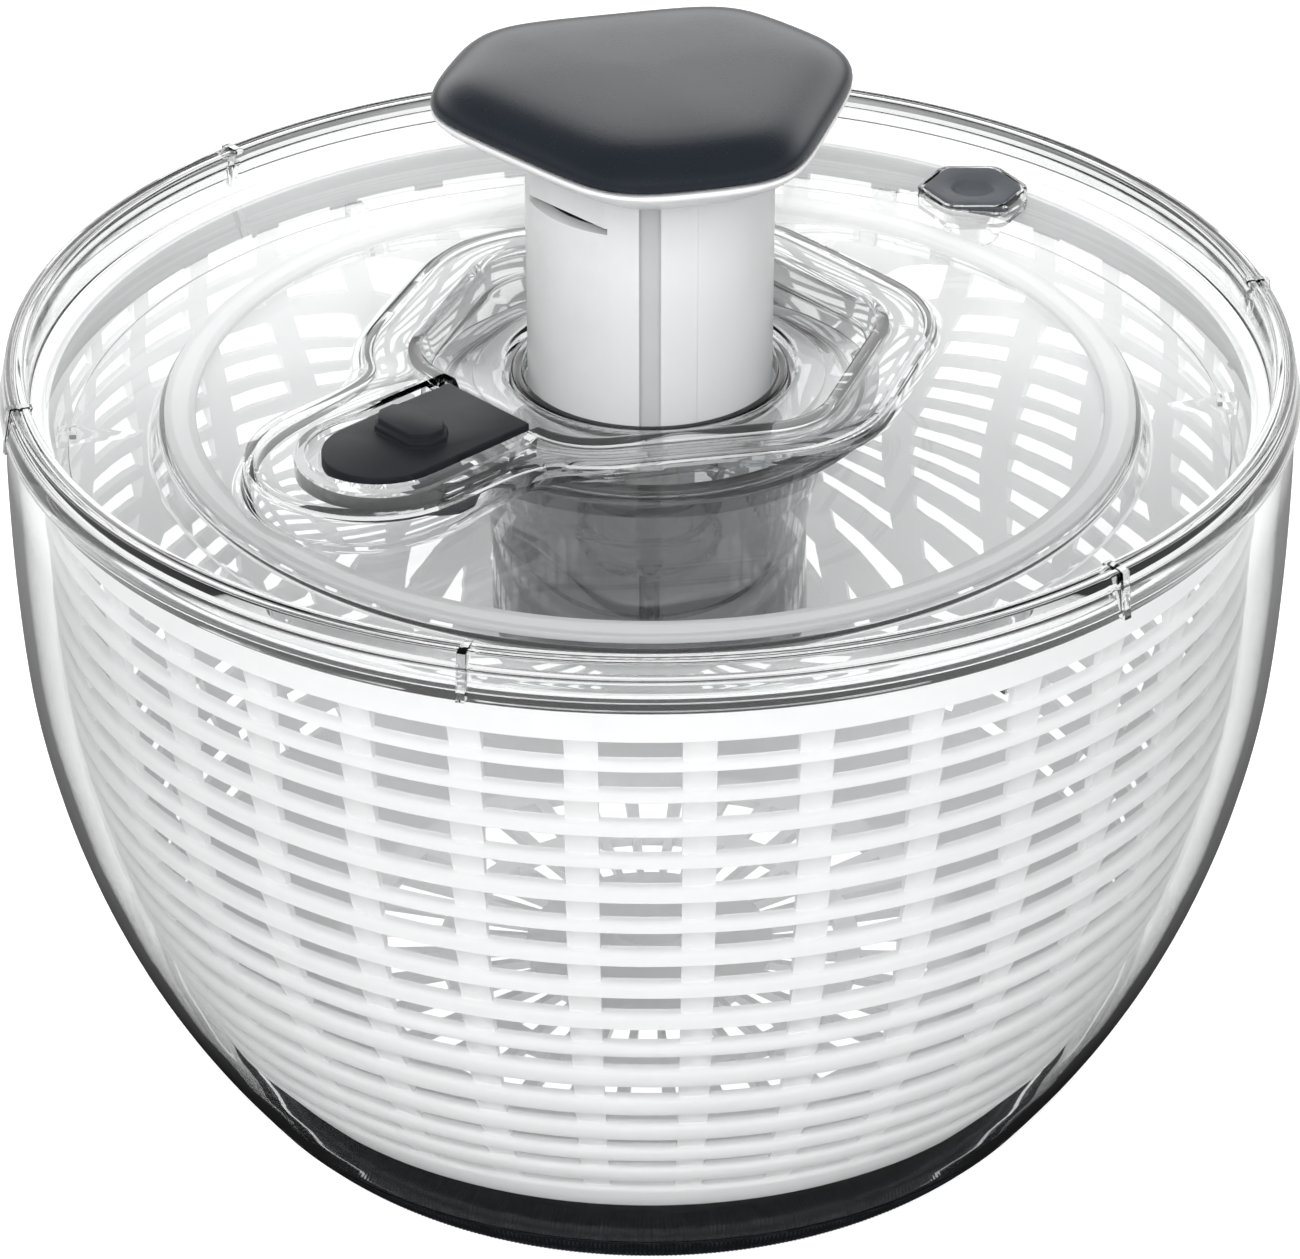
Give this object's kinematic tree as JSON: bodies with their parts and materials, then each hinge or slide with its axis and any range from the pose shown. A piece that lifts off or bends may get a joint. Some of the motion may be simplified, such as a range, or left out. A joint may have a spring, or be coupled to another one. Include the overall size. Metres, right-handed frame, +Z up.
{
  "type": "salad spinner",
  "caption": "Press-down salad spinner: clear bowl, white lattice basket, and a clear lid with a pump handle, slider lock and drain plug.",
  "frame": {"origin": "centre of the base, on the surface that the spinner stands on", "axes": "+Z up along the axis of the bowl, basket and pump; -Y is the front; the slider lock lies towards -X -Y and the drain plug towards +X +Y"},
  "size_m": [0.26, 0.26, 0.2196],
  "materials": {
    "clear_plastic": "clear glossy moulded plastic",
    "smoked_plastic": "smoke-grey translucent moulded plastic",
    "white_plastic": "white satin moulded plastic",
    "dark_soft_plastic": "charcoal soft-touch plastic",
    "dark_plastic": "dark grey satin plastic",
    "dark_rubber": "dark grey soft rubber",
    "black_rubber": "black non-slip rubber",
    "acetal": "off-white engineering plastic",
    "steel": "plain steel"
  },
  "bodies": {
    "base": {"bowl": "clear_plastic", "base_ring": "black_rubber"},
    "basket_body": {"basket": "white_plastic"},
    "lid": {"lid_shell": "clear_plastic", "pump_housing": "clear_plastic", "housing_cap": "white_plastic", "shaft_bush": "acetal", "cap_screw_1": "steel", "cap_screw_2": "steel", "cap_screw_3": "steel"},
    "plug": {"drain_plug": "dark_rubber"},
    "slider": {"slider_lock": "dark_plastic", "brake_foot": "black_rubber"},
    "handle": {"knob_cap": "dark_soft_plastic", "knob_base": "white_plastic", "plunger_sleeve": "white_plastic", "drive_nut": "acetal", "knob_screw_1": "steel", "knob_screw_2": "steel", "knob_screw_3": "steel", "return_spring": "steel"},
    "shaft": {"spiral_shaft": "acetal", "pawl_carrier": "dark_plastic", "pawl_1": "acetal", "pawl_2": "acetal", "rotor_washer": "steel", "shaft_screw": "steel"},
    "rotor": {"rotor_cup": "smoked_plastic", "drive_disc": "clear_plastic", "drive_ring": "white_plastic", "ratchet_ring": "dark_plastic"}
  },
  "joints": [
    {"name": "basket_spin", "type": "hinge", "parent": "base", "child": "basket_body", "pos_m": [0, 0, 0.0164], "axis": [0, 0, 1], "continuous": true},
    {"name": "lid_lift", "type": "slide", "parent": "base", "child": "lid", "axis": [0, 0, 1], "range_m": [0, 0.12]},
    {"name": "rotor_spin", "type": "hinge", "parent": "lid", "child": "rotor", "pos_m": [0, 0, 0.147], "axis": [0, 0, 1], "continuous": true},
    {"name": "handle_press", "type": "slide", "parent": "lid", "child": "handle", "axis": [0, 0, -1], "range_m": [0, 0.038], "stiffness_N_per_m": 250, "springref_m": -0.03, "deforming": ["return_spring"]},
    {"name": "spiral_spin", "type": "hinge", "parent": "lid", "child": "shaft", "pos_m": [0, 0, 0.14], "axis": [0, 0, 1], "range_deg": [0, 345]},
    {"name": "slider_lock_slide", "type": "slide", "parent": "lid", "child": "slider", "axis": [0.7193, 0.6947, 0], "range_m": [0, 0.0155]},
    {"name": "plug_pull", "type": "slide", "parent": "lid", "child": "plug", "axis": [0, 0, 1], "range_m": [0, 0.02]}
  ],
  "couplings": [
    {"joint": "rotor_spin", "follows": "basket_spin", "ratio": 1},
    {"joint": "spiral_spin", "follows": "handle_press", "rad_per_m": 157.08}
  ]
}
